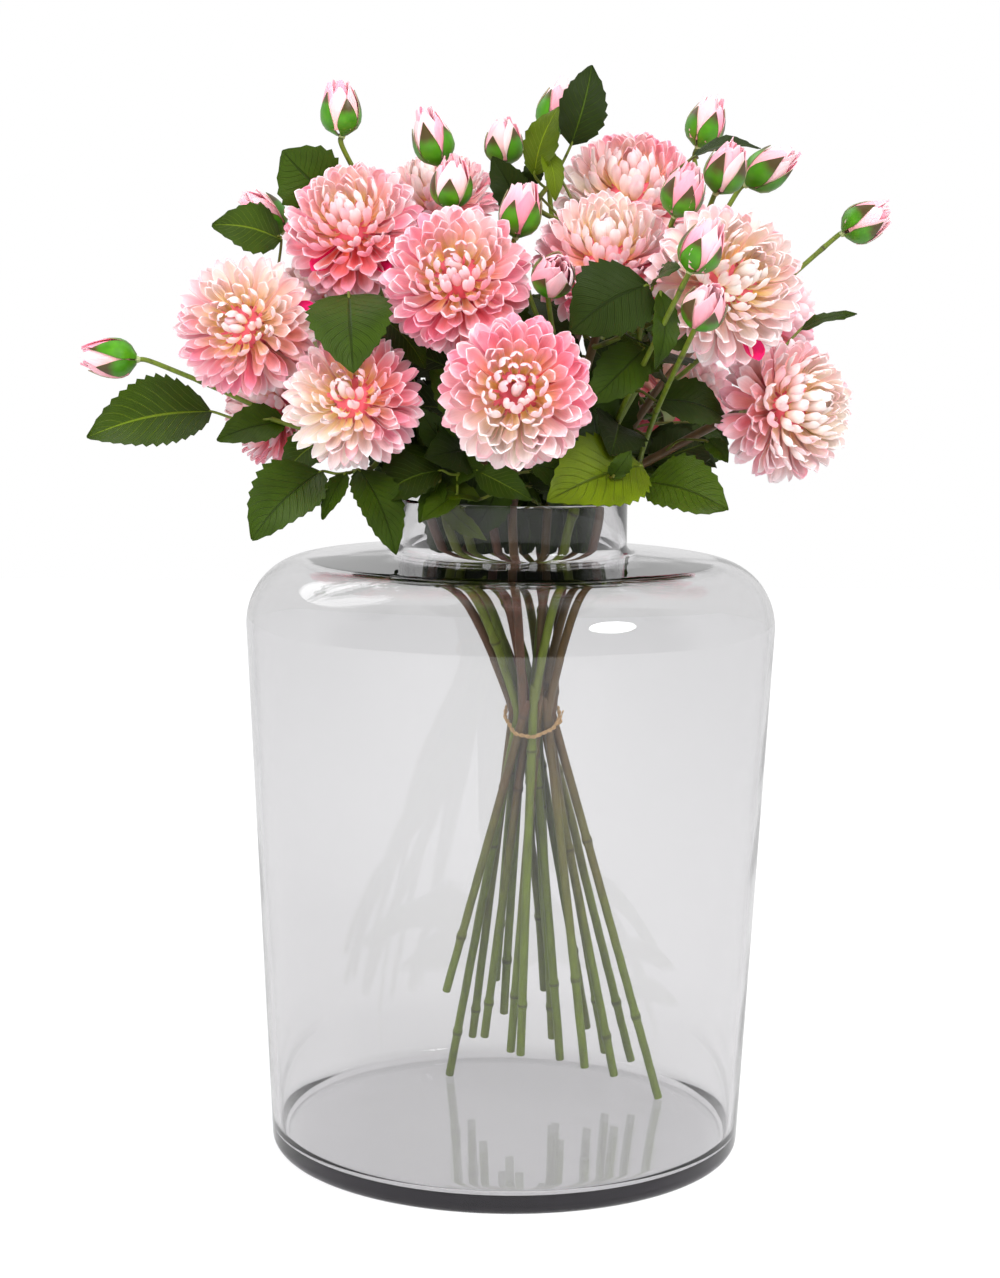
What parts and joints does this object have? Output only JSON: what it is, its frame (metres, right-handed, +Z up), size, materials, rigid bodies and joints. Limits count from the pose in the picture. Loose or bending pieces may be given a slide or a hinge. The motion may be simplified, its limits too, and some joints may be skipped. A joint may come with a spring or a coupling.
{
  "type": "dahlias in a glass jar",
  "caption": "Tied bunch of pink and cream dahlias with buds and toothed leaves, standing in a tall clear glass jar with a rounded shoulder and a short neck.",
  "frame": {"origin": "middle of the jar's flat foot, on the surface it stands on", "axes": "+Z up, -Y the front of the bunch, +X to the right as seen from the front"},
  "size_m": [0.5459, 0.4137, 0.7373],
  "materials": {
    "jar_glass": "clear blown glass, gloss",
    "stem_skin": "moulded, satin, green to purple brown",
    "petal_cloth": "pressed cloth petals, cream to pink",
    "bud_cloth": "pressed cloth, green sepals round pale pink petals",
    "leaf_cloth": "printed cloth, satin, dark green with light veins",
    "twine": "twisted raffia, matt"
  },
  "bodies": {
    "root": {"jar": "jar_glass", "tie": "twine", "stem_01": "stem_skin", "stem_02": "stem_skin", "stem_03": "stem_skin", "stem_04": "stem_skin", "stem_05": "stem_skin", "stem_06": "stem_skin", "stem_07": "stem_skin", "stem_08": "stem_skin", "stem_09": "stem_skin", "stem_10": "stem_skin", "stem_11": "stem_skin", "stem_12": "stem_skin", "stem_13": "stem_skin", "stem_14": "stem_skin", "stem_15": "stem_skin", "stem_16": "stem_skin", "stem_17": "stem_skin", "stem_18": "stem_skin", "bloom_01": "petal_cloth", "bloom_02": "petal_cloth", "bloom_03": "petal_cloth", "bloom_04": "petal_cloth", "bloom_05": "petal_cloth", "bloom_06": "petal_cloth", "bloom_07": "petal_cloth", "bloom_08": "petal_cloth", "bloom_09": "petal_cloth", "bloom_10": "petal_cloth", "bloom_11": "petal_cloth", "bloom_12": "petal_cloth", "bloom_13": "petal_cloth", "bloom_14": "petal_cloth", "bloom_15": "petal_cloth", "bloom_16": "petal_cloth", "bloom_17": "petal_cloth", "bloom_18": "petal_cloth", "bud_01": "bud_cloth", "bud_02": "bud_cloth", "bud_03": "bud_cloth", "bud_04": "bud_cloth", "bud_05": "bud_cloth", "bud_06": "bud_cloth", "bud_07": "bud_cloth", "bud_08": "bud_cloth", "bud_09": "bud_cloth", "bud_10": "bud_cloth", "bud_11": "bud_cloth", "bud_12": "bud_cloth", "bud_13": "bud_cloth", "bud_14": "bud_cloth", "bud_15": "bud_cloth", "leaf_sprig_left": "leaf_cloth", "leaf_sprig_front_left": "leaf_cloth", "leaf_sprig_mouth": "leaf_cloth", "leaf_sprig_front_right": "leaf_cloth", "leaf_sprig_middle": "leaf_cloth", "leaf_sprig_top": "leaf_cloth", "leaf_sprig_back": "leaf_cloth"}
  },
  "joints": []
}
